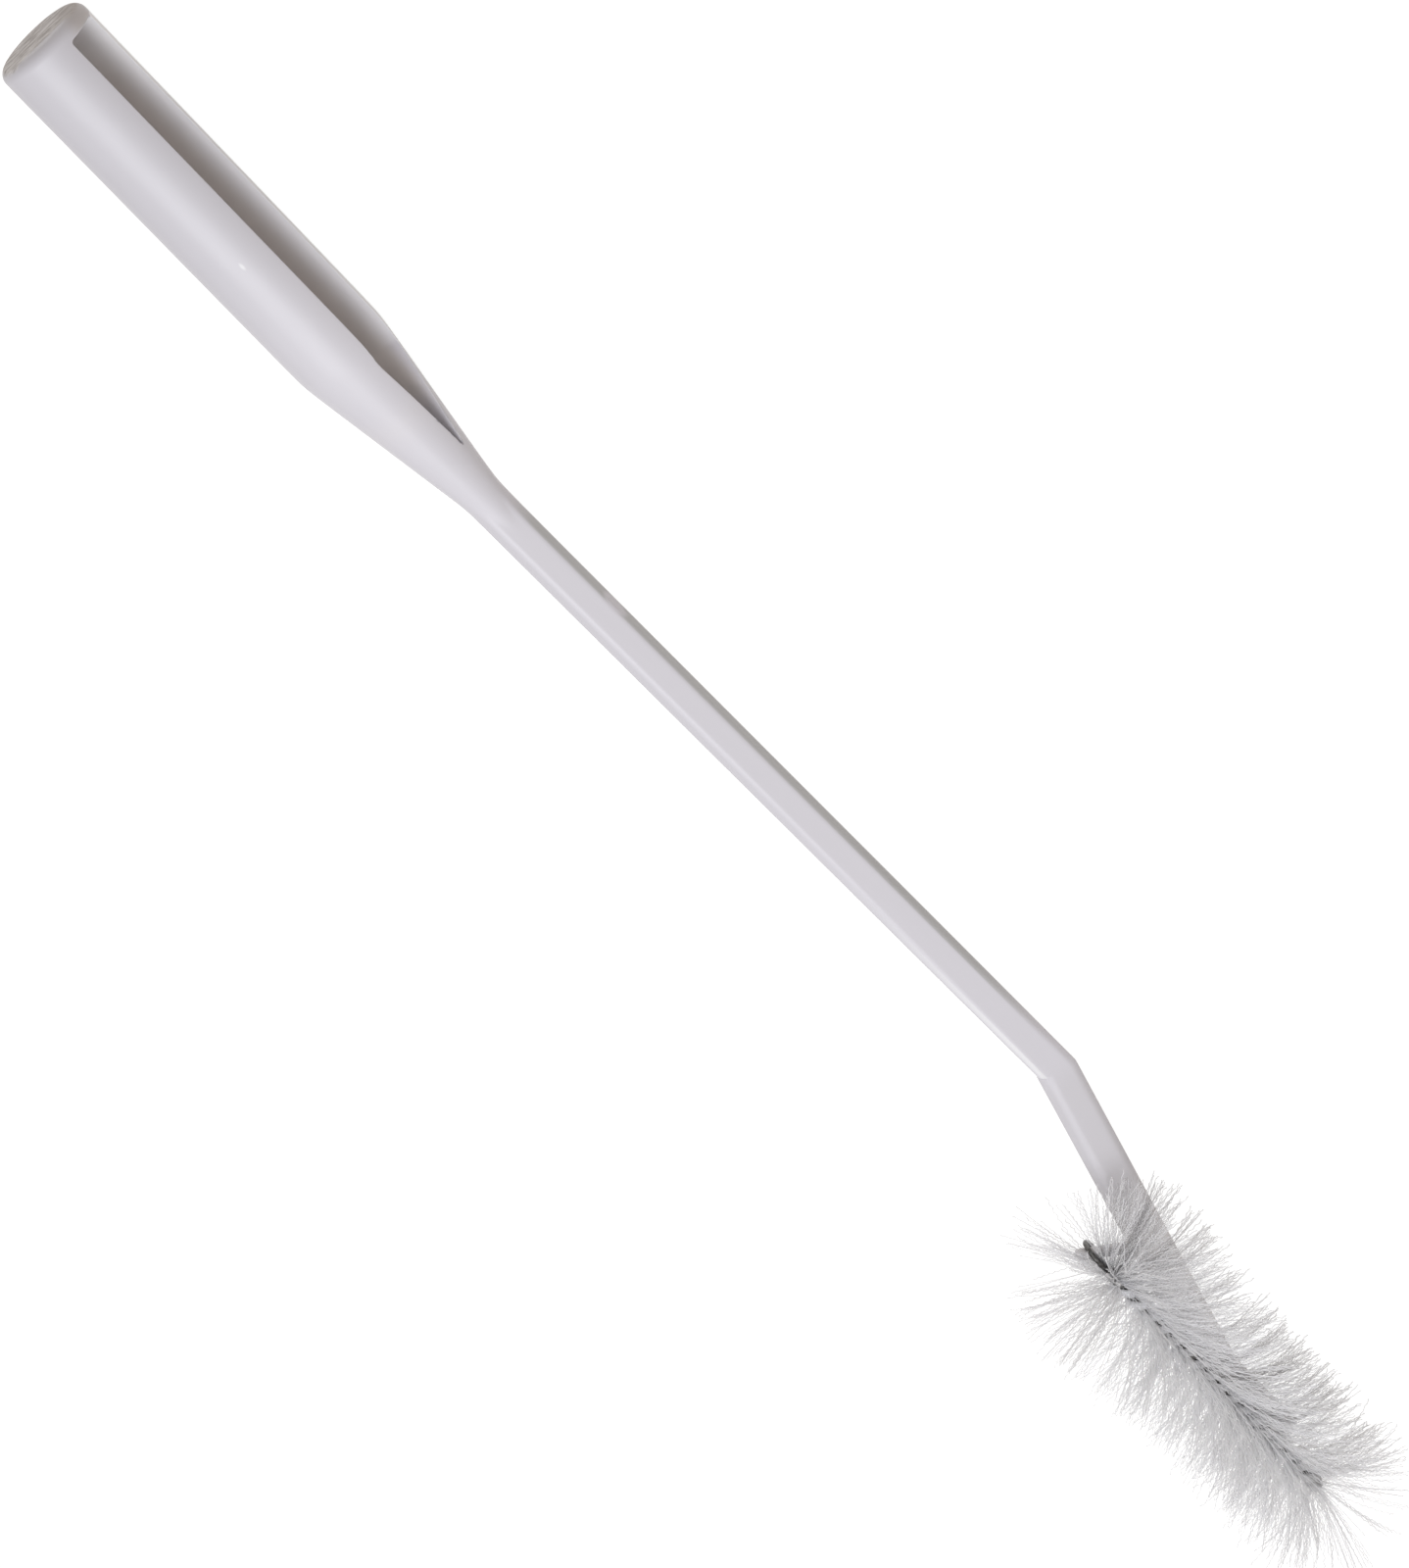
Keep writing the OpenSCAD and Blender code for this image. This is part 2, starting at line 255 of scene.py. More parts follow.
elbowTurn = math.radians(handleSizes["elbow"])
saddleTurn = math.radians(handleSizes["saddle"])
armHalf = handleSizes["armWidth"] / 2
widen = handleSizes["armWidth"] / handleSizes["shaftWidth"]
taperEnd = handleSizes["gripLength"] + handleSizes["taperLength"]
slotEnd = handleSizes["gripLength"] + handleSizes["slotTip"]
elbowX = taperEnd + handleSizes["shaftLength"]
bendX = elbowX + handleSizes["armLength"] * math.cos(elbowTurn)
bendY = -handleSizes["armLength"] * math.sin(elbowTurn)
bowed = (Matrix.Translation((taperEnd, 0, 0))
         @ Matrix.Rotation(math.radians(-handleSizes["bow"]), 4, "Z")
         @ Matrix.Translation((-taperEnd, 0, 0)))


def spokeAngles():
    # The mouth of the channel falls inside faces, not on their edges.
    sizes = handleSizes
    mouth = math.degrees(math.asin(sizes["slotWidth"] / 2 / sizes["gripRadius"]))
    across, around = sizes["mouthSpokes"], sizes["roundSpokes"]
    step = 2 * mouth / across
    first = sizes["slotTurn"] - mouth - step / 2
    inside = [first + step * i for i in range(across + 2)]
    rest = 360 - (across + 1) * step
    outside = [inside[-1] + rest / around * i for i in range(1, around)]
    return sorted(a % 360 for a in inside + outside + sizes["partingSpokes"])


def roundedSection(radius, left, right, steps=8):
    # The bar's six-sided outline. The sides stand out most at the parting line, and those two
    # corners, the first and the fourth, are half as round as the others.
    half, flat = handleSizes["shaftWidth"] / 2, handleSizes["shaftFlat"] / 2
    deep = handleSizes["shaftDepth"] / 2
    corners = [(half, right), (flat, deep), (-flat, deep), (-half, left), (-flat, -deep), (flat, -deep)]
    outline = []
    for i, corner in enumerate(corners):
        toLast = unit(np.array(corners[i - 1]) - corner)
        toNext = unit(np.array(corners[(i + 1) % 6]) - corner)
        r = radius / 2 if i % 3 == 0 else radius
        halfAngle = math.acos(toLast @ toNext) / 2
        middle = corner + unit(toLast + toNext) * r / math.sin(halfAngle)
        start = corner + toLast * r / math.tan(halfAngle) - middle
        end = corner + toNext * r / math.tan(halfAngle) - middle
        for k in range(steps + 1):
            outline.append(middle + unit(start + (end - start) * k / steps) * r)
    return np.array(outline)


def reachAlong(outline, angles):
    # Distance from the axis to the outline in each direction; 0 is the front, 90 the right.
    parallel, spare = 1e-12, 1e-9
    reach = []
    for a in np.radians(angles):
        spoke = (math.sin(a), math.cos(a))
        best = 0.0
        for point, following in zip(outline, np.roll(outline, -1, axis=0)):
            edge = following - point
            slope = edge[0] * spoke[1] - edge[1] * spoke[0]
            if abs(slope) < parallel:
                continue
            far = (edge[0] * point[1] - edge[1] * point[0]) / slope
            share = (spoke[0] * point[1] - spoke[1] * point[0]) / slope
            if -spare <= share <= 1 + spare and far > best:
                best = far
        reach.append(best)
    return np.array(reach)


def gripRadiusAt(x):
    # The grip or its cone, whichever is smaller, with the step between them softened.
    sizes = handleSizes
    grip = sizes["gripRadius"]
    slope = (grip - sizes["shaftWidth"] / 2) / sizes["taperLength"]
    cone = grip - slope * (x - sizes["gripLength"])
    return (grip + cone - math.sqrt((grip - cone) ** 2 + sizes["coneSoftness"] ** 2)) / 2


def handleRings():
    sizes = handleSizes
    angles = np.array(spokeAngles())
    sines, cosines = np.sin(np.radians(angles)), np.cos(np.radians(angles))
    rings = []

    def barReach(left, right, radius=sizes["edgeRadius"]):
        return reachAlong(roundedSection(radius, left, right), angles)

    def ring(x, reach):
        half = sizes["bowHalf"]
        before = taperEnd + half - x
        turn = math.radians(sizes["bow"]) * min(max(before / 2 / half, 0), 1)
        shift = turn * (before / 2 if before < 2 * half else before - half)
        rings.append(np.column_stack((x + reach * sines * math.sin(turn),
                                      max(shift, 0) + reach * sines * math.cos(turn),
                                      reach * cosines)))

    def slantedRing(reach, x, y, slant, stretch, heading, along):
        slant, heading = math.radians(slant), math.radians(heading)
        across = reach * sines * stretch
        rings.append(np.column_stack((x + across * math.sin(slant) + along * math.cos(heading),
                                      y + across * math.cos(slant) - along * math.sin(heading),
                                      reach * cosines)))

    # The rounded end, the grip, the taper and the shaft.
    rim = sizes["rimRadius"]
    for k in range(sizes["rimSteps"] + 1):
        a = math.radians(90 * k / sizes["rimSteps"])
        ring(rim * (1 - math.cos(a)),
             np.full(len(angles), sizes["gripRadius"] - rim * (1 - math.sin(a))))
    for x in taperRings:
        ring(x, np.full(len(angles), gripRadiusAt(x)))
    bar = barReach(0, 0)
    for x in rootRings:
        cone = gripRadiusAt(x)
        larger = (cone + bar + np.sqrt((cone - bar) ** 2 + sizes["rootBlend"] ** 2)) / 2
        ring(x, larger if x < sizes["rootEnd"] else bar)
    for x in risingRings:
        rise = (x - rootRings[-1]) / (elbowX - rootRings[-1])
        ring(x, barReach(sizes["elbowLeft"] * rise, sizes["armRight"] * rise))

    # The elbow, the arm and the second bend: the rings at each bend lie in its mitre.
    elbow, saddle = sizes["elbow"], sizes["saddle"]
    far, elbowSoft, bendSoft = sizes["mitreReach"], sizes["elbowSoft"], sizes["bendSoft"]
    elbowCut = math.degrees(math.atan((widen - math.cos(elbowTurn)) / math.sin(elbowTurn)))
    bendCut = (elbow + saddle) / 2
    atElbow = 1 / math.cos(math.radians(elbowCut))
    atBend = widen / math.cos(math.radians(elbow - bendCut))
    byElbow = barReach(sizes["elbowLeft"], sizes["armRight"])
    arm = barReach(0, sizes["armRight"], sizes["armEdgeRadius"])
    for along in (-far, -elbowSoft):
        slantedRing(byElbow, elbowX, 0, elbowCut, atElbow, 0, along)
    for along in (elbowSoft, far):
        slantedRing(arm, elbowX, 0, elbowCut, atElbow, elbow, along)
    slantedRing(arm, elbowX, 0, elbow, widen, elbow, sizes["armLength"] / 2)
    for along in (-far, -bendSoft):
        slantedRing(arm, bendX, bendY, bendCut, atBend, elbow, along)
    for along in (bendSoft, far):
        slantedRing(arm, bendX, bendY, bendCut, atBend, saddle, along)

    # The saddle's end is rounded in its width.
    tipRound = sizes["armWidth"] / 3
    for k in range(sizes["tipSteps"] + 1):
        a = math.radians(90 * k / sizes["tipSteps"])
        slantedRing(arm, bendX, bendY, saddle, widen, saddle,
                    sizes["saddleLength"] - tipRound * (1 - math.sin(a)))
        narrower = (armHalf - tipRound * (1 - math.cos(a))) / armHalf
        middle = rings[-1].mean(0)
        rings[-1][:, 1] = middle[1] + (rings[-1][:, 1] - middle[1]) * narrower
    return np.array(rings) * mm


def addBlock(name, start, length, width, low, high):
    # A block along the grip's axis.
    bpy.ops.mesh.primitive_cube_add(size=1, location=((start + length / 2) * mm, 0, (low + high) / 2 * mm))
    block = named(name)
    block.scale = (length * mm, width * mm, (high - low) * mm)
    bpy.ops.object.transform_apply(location=True, rotation=True, scale=True)
    return block


def addRod(name, sides, radius, start, direction, length):
    bpy.ops.mesh.primitive_cylinder_add(vertices=sides, radius=radius * mm, depth=length * mm)
    rod = named(name)
    turn = direction.to_track_quat("Z", "Y").to_matrix().to_4x4()
    return rod, Matrix.Translation((start + direction * length / 2) * mm) @ turn


# The trough that rounds the cutter's bottom starts before the end wall, and is a hair wider and
# less deep than the block, so that no two faces lie in one plane. An edge is picked by how
# straight it runs along an axis and how near it is.
troughSizes = dict(before=5.0, length=120.0, wider=1.0002, lower=0.005, roundShare=0.99, steps=14,
                   along=0.99, near=0.5)


def buildSlotCutter():
    # A block with a round bottom, cut to a point at its far end.
    sizes = handleSizes
    low = sizes["gripRadius"] - sizes["slotDepth"]
    high = sizes["gripRadius"] + sizes["slotAbove"]
    wall, width = sizes["endWall"], sizes["slotWidth"]
    cutter = addBlock("slot_cutter", wall, slotEnd - wall, width, low, high)
    narrow = math.atan(width / 2 / sizes["slotNarrow"])
    bpy.ops.object.mode_set(mode="EDIT")
    for side in (1, -1):
        bpy.ops.mesh.select_all(action="SELECT")
        bpy.ops.mesh.bisect(plane_co=(slotEnd * mm, 0, 0), clear_outer=True, use_fill=True,
                            plane_no=(math.sin(narrow), side * math.cos(narrow), 0))
    bpy.ops.object.mode_set(mode="OBJECT")
    steps, along, near = sizes["slotSteps"], troughSizes["along"], troughSizes["near"]
    for place, bevelWidth, count in (
            (slotEnd, sizes["slotTipRadius"] / math.tan(narrow), steps["tip"]),
            (slotEnd - sizes["slotNarrow"], sizes["slotShoulder"], steps["shoulder"]),
            (wall, sizes["slotCorner"], steps["corner"])):
        bevelEdges(cutter, bevelWidth, count,
                   lambda e, middle, way: abs(way.z) > along and abs(middle.x - place) < near)
    tidyFaces(cutter)

    trough = addBlock("slot_trough", wall - troughSizes["before"], troughSizes["length"],
                      width * troughSizes["wider"], low + troughSizes["lower"], high - troughSizes["lower"])
    bevelEdges(trough, width / 2 * troughSizes["roundShare"], troughSizes["steps"],
               lambda e, middle, way: abs(way.x) > along and middle.z < low + near)
    tidyFaces(trough)
    cut(cutter, trough, "INTERSECT")
    turn = Matrix.Rotation(math.radians(-sizes["slotTurn"]), 4, "X")
    cutter.data.transform(Matrix.Scale(mm, 4) @ bowed @ turn @ Matrix.Scale(1 / mm, 4))
    return cutter


def pegAxis():
    lean, at = math.radians(handleSizes["pegLean"]), handleSizes["pegAt"]
    root = Vector((elbowX + at * math.cos(elbowTurn) - armHalf * math.sin(elbowTurn),
                   -at * math.sin(elbowTurn) - armHalf * math.cos(elbowTurn),
                   handleSizes["pegHeight"]))
    return root, Vector((-math.sin(lean), -math.cos(lean), 0))


def buildPeg():
    # It starts half an arm's width inside the arm.
    root, direction = pegAxis()
    length = handleSizes["pegLength"] + armHalf
    peg, place = addRod("peg", handleSizes["pegSides"], handleSizes["pegRadius"],
                        root - direction * armHalf, direction, length)
    atEnd = length / 2 - handleSizes["pegRound"]
    bevelEdges(peg, handleSizes["pegRound"], handleSizes["bevelSteps"],
               lambda e, middle, way: middle.z > atEnd)
    peg.data.transform(place)
    return peg


def buildGrooveCutter(wirePlace):
    cutter, place = addRod("groove_cutter", handleSizes["pegSides"], wirePlace["stemRadius"],
                           wirePlace["stemStart"], wirePlace["stemDirection"], wireSizes["stemLength"])
    cutter.data.transform(place)
    return cutter


# How the edges of the channel's mouth are told from the others, in millimetres and radians.
mouthTest = dict(before=0.5, beyond=1.5, bend=0.45, beside=0.1, offSurface=0.4)


def softenMouth(body):
    # Rounds the edges of the channel's mouth, on the grip and on its cone.
    turn = math.radians(handleSizes["slotTurn"])
    opening = Vector((0, math.sin(turn), math.cos(turn)))
    across = Vector((0, math.cos(turn), -math.sin(turn)))
    unbowed = bowed.inverted()
    first, last = handleSizes["endWall"] - mouthTest["before"], slotEnd + mouthTest["beyond"]

    def onMouth(e, middle, way):
        middle = unbowed @ middle
        if not first < middle.x < last or len(e.link_faces) != 2:
            return False
        out, side = middle.dot(opening), abs(middle.dot(across))
        offSurface = abs(math.hypot(out, side) - gripRadiusAt(middle.x))
        return (e.calc_face_angle() >= mouthTest["bend"] and out > 0
                and side < handleSizes["slotWidth"] / 2 + mouthTest["beside"]
                and offSurface < mouthTest["offSurface"])

    bevelEdges(body, handleSizes["mouthEdge"], handleSizes["bevelSteps"], onMouth, clamp_overlap=False)


def buildHandle(wirePlace):
    body = loft("handle_shell", handleRings())
    cut(body, buildSlotCutter())
    tidyFaces(body)
    softenMouth(body)
    cut(body, buildGrooveCutter(wirePlace))
    cut(body, buildPeg(), "UNION")
    tidyFaces(body)
    layDown(body, handleSizes["smoothUpTo"])
    print("handle made:", len(body.data.polygons), "faces")
    return body


# Millimetres and degrees. The two legs leave the eye, come together in the neck and twist.
wireSizes = dict(
    wireRadius=0.6, legGap=0.15, stemLength=75.7, twistPitch=8.4, stemOut=23.1, stemTurn=1.2,
    stemHeight=3.875, eyeRadius=3.393, eyeTurn=78.0, eyeEnd=65.0, eyeShift=0.7,
    neck=1.75, neckCurve=1.3, eyeSteps=40, neckSteps=16, stepsATurn=24, smoothUpTo=50)


def wirePlaces():
    # The eye's middle lies beside the peg's axis, and the stem runs along the saddle from there.
    sizes = wireSizes
    root, direction = pegAxis()
    out = sizes["stemOut"] - sizes["eyeShift"] + root.y
    eye = root + direction * (out / math.cos(math.radians(handleSizes["pegLean"])))
    eye += Vector((sizes["eyeShift"], 0, 0))
    neck = sizes["neck"] * sizes["eyeRadius"]
    helix = sizes["wireRadius"] + sizes["legGap"] / 2
    turn, tilt = math.radians(sizes["stemTurn"]), math.radians(sizes["eyeTurn"])
    return dict(eye=eye, neck=neck, helix=helix, stemRadius=helix + sizes["wireRadius"],
                stemStart=Vector((eye.x + neck, -sizes["stemOut"], sizes["stemHeight"])),
                stemDirection=Vector((math.cos(turn), -math.sin(turn), 0)),
                side=Vector((0, -math.cos(tilt), math.sin(tilt))),
                face=Vector((0, math.sin(tilt), math.cos(tilt))))


def legPoint(places, q, out, turn, sign):
    # A point beside the wire's middle line, q along it from the eye.
    neck, eye, start = places["neck"], places["eye"], places["stemStart"]
    if q >= neck:
        middle = start + places["stemDirection"] * (q - neck)
    else:
        t = min(max(q / neck, 0), 1)
        t = t * t * (3 - 2 * t)
        middle = Vector((eye.x + q, eye.y + (start.y - eye.y) * t, eye.z + (start.z - eye.z) * t))
    a = math.radians(turn)
    return middle + sign * out * (places["side"] * math.cos(a) + places["face"] * math.sin(a))


def wireRoute(places):
    # One leg from the eye's far side to the stem's end, as distance along, distance out and turn.
    sizes = wireSizes
    rows = []
    eyeSteps, neckSteps = sizes["eyeSteps"], sizes["neckSteps"]
    for i in range(eyeSteps + 1):
        a = math.radians(180 - (180 - sizes["eyeEnd"]) * i / eyeSteps)
        rows.append((sizes["eyeRadius"] * math.cos(a), sizes["eyeRadius"] * math.sin(a), 0))
    fromQ, fromOut, _ = rows[-1]
    for i in range(1, neckSteps + 1):
        t = i / neckSteps
        closing = 1 - (1 - t) ** sizes["neckCurve"]
        rows.append((fromQ + (places["neck"] - fromQ) * t,
                     fromOut + (places["helix"] - fromOut) * closing, 90 * t * t))
    count = math.ceil(sizes["stemLength"] / sizes["twistPitch"] * sizes["stepsATurn"])
    for i in range(1, count + 1):
        q = sizes["stemLength"] * i / count
        rows.append((places["neck"] + q, places["helix"], 90 + 360 * q / sizes["twistPitch"]))
    first = [legPoint(places, *row, 1) for row in reversed(rows)]
    second = [legPoint(places, *row, -1) for row in rows[1:]]
    return first + second


def buildWire(places):
    route = wireRoute(places)
    deselectAll()
    curve = bpy.data.curves.new("wire_route", "CURVE")
    curve.dimensions = "3D"
    spline = curve.splines.new("POLY")
    spline.points.add(len(route) - 1)
    for point, place in zip(spline.points, route):
        point.co = (*(place * mm), 1)
    curve.bevel_depth = wireSizes["wireRadius"] * mm
    curve.bevel_resolution = 2
    curve.use_fill_caps = True
    piece = bpy.data.objects.new("wire_twist", curve)
    bpy.context.collection.objects.link(piece)
    onlySelect(piece)
    bpy.ops.object.convert(target="MESH")
    piece = named("wire_twist")
    tidyFaces(piece)
    layDown(piece, wireSizes["smoothUpTo"])
    print("wire made:", len(piece.data.polygons), "faces")
    return piece


# Millimetres and degrees. A pair of lists gives places and the values there; unless a note says
# otherwise, the places are along the stem. A spread comes with each filament's own part of it,
# and the rest is shared by the clump that it sticks together in.
bristleSizes = dict(
    count=3200, pieces=5, seed=7, clump=4,
    radius=0.12, length=22.4, lengthSpread=1.3, steps=24,
    crimp=0.36, crimpRange=(0.6, 1.25), crimpStart=3,
    # More filaments start close to the eye, where they splay back.
    starts=((0, 0.26, 0.5, 1), (-4.6, 3, 20.0, wireSizes["stemLength"] - 1)), byEye=3.0,
    # How they turn about the stem, and lean towards its far end.
    fanSpread=(38.0, 0.35), turnSpread=(9, 0.45), leanSpread=(7, 0.35), bendSpread=(8, 0.45),
    lean=((-4.6, -3.0, -1, 1, 3, 7, 12, 37, 60, 66, 71, 75.7),
          (-64, -52, -40, -16, 4, 20, 30, 36, 35, 34, 36, 42)),
    leanLoose=((-3, 4, 70, 75), (2, 1, 1, 2.4)),
    bendDown=((2, 10), (0, 14)), bendStart=1.4, bendEarly=0.57,
    # They are parted over the front of the stem: at their start more where a leg of the wire is in
    # front, and at their end more where none is. Some stray over it.
    front=(0, -0.0176, 0.99985), parting=0.5, legParting=11.0, partedEnd=10.5, partedMore=19.0,
    partedAlong=((0, 3, 66, 72), (0, 1, 1, 0)), strays=0.2,
    # The arm has pushed up most of the filaments that would lie under it near the eye.
    underArm=65.0, raisedEnd=22.0, raisedShare=0.9,
    # They keep clear of the arm, the peg and the eye, by turning step by step about the stem, or
    # are thinned out; and they stay above the floor.
    barGap=0.25, flatSpare=1.06, wireGap=0.12, pegBuried=3, loopMore=4, startPoints=2,
    floorGap=0.12, floorLoose=0.02, floorFold=7,
    giveStep=3.0, giveEnd=0.55, giveTries=60, thinned=0.3,
    # The share of them that is kept: in the rear tuft by their angle round the eye, seen square to
    # the brush, and along the stem on the right and left of it and by its tip.
    square=(0.409, 0.016, -0.912), tuftEnd=4.0,
    tuftKept=((-180, -72, -60, -54, -50, -34, -28, 0, 30, 50, 62, 180),
              (0.5, 0.6, 0.6, 0.3, 0, 0, 0.45, 0.6, 0.5, 0.9, 1, 1)),
    rightKept=((9, 13, 24, 34), (1, 0.52, 0.55, 1)),
    leftKept=((4, 18, 24), (0.5, 0.6, 1)),
    tipKept=((60, 67, 75.7), (1, 0.85, 0.6)))


def listed(name, at):
    return np.interp(at, *bristleSizes[name])


def drawFilaments(places, rng):
    # Where each filament starts, how it turns and leans at its start and end, and its own wave.
    sizes = bristleSizes
    n, clump = sizes["count"], sizes["clump"]

    def together(name):
        spread, own = sizes[name]
        tuft = np.repeat(rng.normal(0, 1, n // clump + 1), clump)[:n]
        return spread * (tuft * math.sqrt(1 - own * own) + rng.normal(0, own, n))

    q = listed("starts", (np.arange(n) + rng.random(n)) / n)
    leg = rng.integers(0, 2, n) * 180.0
    leg = np.repeat(leg[::clump], clump)[:n]
    whorl = 180 + 360 * q / wireSizes["twistPitch"]
    turn = whorl + leg + together("fanSpread")
    lean = listed("lean", q) + together("leanSpread") * listed("leanLoose", q)
    bend = together("bendSpread") - listed("bendDown", q)
    bendTurn = together("turnSpread")
    length = sizes["length"] + rng.normal(0, sizes["lengthSpread"], n)
    waveSide = rng.integers(0, 2, n) * 2 - 1
    waveTurn = rng.random(n) * 360
    crimp = sizes["crimp"] * rng.uniform(*sizes["crimpRange"], n)

    side, face = np.array(places["side"]), np.array(places["face"])
    front = np.array(sizes["front"])
    frontAt = math.degrees(math.atan2(front @ face, front @ side))
    off = (turn - frontAt + 180) % 360 - 180
    raised = (off > sizes["underArm"]) & (q < sizes["raisedEnd"])
    raised &= rng.random(n) < sizes["raisedShare"]
    off = np.where(raised, off - sizes["underArm"], off)
    sideways = np.abs(np.sin(np.radians(whorl - frontAt))) ** 3
    fade = listed("partedAlong", q)
    startApart = (sizes["parting"] + sizes["legParting"] * sideways) * fade
    endApart = (sizes["partedEnd"] + sizes["partedMore"] * (1 - sideways)) * fade
    endApart = np.where(rng.random(n) < sizes["strays"], 0, endApart)

    def parted(apart):
        # Moved off the front by the parting, and closed up towards the back.
        return frontAt + np.sign(off) * (apart + np.abs(off) * (180 - apart) / 180)

    return dict(q=q, turn=parted(startApart), endTurn=parted(endApart) + bendTurn, length=length,
                lean=lean - sizes["bendStart"] * bend, endLean=lean + bend,
                crimp=waveSide * crimp, waveTurn=waveTurn,
                start=np.array([legPoint(places, places["neck"] + k, 0, 0, 1) for k in q]))


def layFilaments(places, drawn, shift):
    # The points and headings of the filaments, each given way about the stem by its shift.
    side, face = np.array(places["side"]), np.array(places["face"])
    stem = np.array(places["stemDirection"])
    steps = bristleSizes["steps"]

    def direction(turn, lean):
        turn, lean = np.radians(turn)[:, None], np.radians(lean)[:, None]
        return np.cos(lean) * (np.cos(turn) * side + np.sin(turn) * face) + np.sin(lean) * stem

    first = direction(drawn["turn"] + shift, drawn["lean"])
    last = direction(drawn["endTurn"] + bristleSizes["giveEnd"] * shift, drawn["endLean"])
    late = (np.linspace(0, 1, steps + 1) ** bristleSizes["bendEarly"])[None, :, None]
    heading = unit(first[:, None, :] * (1 - late) + last[:, None, :] * late)
    step = (drawn["length"] / steps)[:, None, None] * (heading[:, 1:] + heading[:, :-1]) / 2
    out = np.concatenate((np.zeros((len(shift), 1, 3)), np.cumsum(step, axis=1)), axis=1)
    return drawn["start"][:, None, :] + out, heading


def insideBar(points):
    # Which points lie within the arm or the saddle and the gap round it, and how far across.
    x, y, z = points[..., 0], points[..., 1], points[..., 2]
    gap, rightRise = bristleSizes["barGap"], handleSizes["armRight"]
    onArm = x < bendX
    across = np.where(onArm, (x - elbowX) * math.sin(elbowTurn) + y * math.cos(elbowTurn),
                      (x - bendX) * math.sin(saddleTurn) + (y - bendY) * math.cos(saddleTurn))
    there = onArm | (x < bendX + (handleSizes["saddleLength"] + gap))
    deep = handleSizes["shaftDepth"] / 2 + gap
    flat = handleSizes["shaftFlat"] / 2 * bristleSizes["flatSpare"]
    rise = np.where((across > 0) & (z > 0), rightRise, 0)
    slant = np.clip((np.abs(z) - rise) / (deep - rise), 0, 1)
    wide = armHalf + gap - (armHalf - flat) * slant
    return there & (np.abs(z) < deep) & (np.abs(across) < wide), across


def nearHook(points, byEye, loop):
    # Which points touch the peg or, for the filaments by the eye, the wire's loop round it.
    root, direction = [np.array(v) for v in pegAxis()]
    spare = bristleSizes["radius"] + bristleSizes["wireGap"]
    fromRoot = points - root
    along = np.clip(fromRoot @ direction, -bristleSizes["pegBuried"], handleSizes["pegLength"])
    away = np.linalg.norm(fromRoot - along[..., None] * direction, axis=-1)
    hit = away < handleSizes["pegRadius"] + spare
    apart = np.linalg.norm(points[byEye][:, :, None, :] - loop, axis=-1).min(-1)
    hit[byEye] |= apart < wireSizes["wireRadius"] + spare
    return hit


def filamentPaths(places, rng):
    sizes = bristleSizes
    drawn = drawFilaments(places, rng)
    n, q = sizes["count"], drawn["q"]
    byEye = q < sizes["byEye"]
    loop = np.array(wireRoute(places))
    reach = wireSizes["eyeSteps"] + wireSizes["neckSteps"] + sizes["loopMore"]
    loop = loop[np.abs(np.arange(len(loop)) - len(loop) // 2) < reach]
    shift, sense, thin = np.zeros(n), np.zeros(n), np.zeros(n, bool)
    for attempt in range(sizes["giveTries"]):
        points, heading = layFilaments(places, drawn, shift)
        free = points[:, sizes["startPoints"]:]
        blocked = (insideBar(free)[0] | nearHook(free, byEye, loop)).any(axis=1)
        if not blocked.any():
            break
        if attempt == 0:
            # Each filament gives way to the side that its own end is nearer to.
            turn = np.radians(drawn["turn"])
            rightward = np.cos(turn) * places["face"].y - np.sin(turn) * places["side"].y
            endAcross = insideBar(points[:, -1:])[1][:, 0]
            sense = np.where(rightward * np.where(endAcross > 0, 1, -1) > 0, 1.0, -1.0)
            thin = blocked & (q > sizes["byEye"]) & (rng.random(n) < sizes["thinned"])
        shift[blocked] += sizes["giveStep"] * sense[blocked]

    square = unit(sizes["square"])
    back = unit(np.cross(np.cross(square, (-1, 0, 0)), square))
    ends = points[:, -1] - points[:, 0]
    fanAngle = np.degrees(np.arctan2(ends @ np.cross(square, back), ends @ back))
    beside = np.where(fanAngle > 0, listed("rightKept", q), listed("leftKept", q))
    kept = np.where(q < sizes["tuftEnd"], listed("tuftKept", fanAngle), beside * listed("tipKept", q))
    keep = ~blocked & ~thin & (rng.random(n) < kept)
    print("filaments:", int(keep.sum()), "of", n, "kept")
    return crimped(places, drawn, points, heading)[keep], q[keep]


def crimped(places, drawn, points, heading):
    # The crimp: a wave across each filament, in a plane of its own, which grows from its start.
    offStem = np.array(places["stemDirection"]) + 0.01
    one = unit(np.cross(heading, offStem))
    two = np.cross(heading, one)
    turn = np.radians(drawn["waveTurn"])[:, None, None]
    across = np.cos(turn) * one + np.sin(turn) * two
    steps = np.arange(bristleSizes["steps"] + 1)
    wave = np.where(steps % 2 == 0, 1.0, -1.0) * np.minimum(steps / bristleSizes["crimpStart"], 1)
    return points + (drawn["crimp"] / 2)[:, None, None] * wave[None, :, None] * across


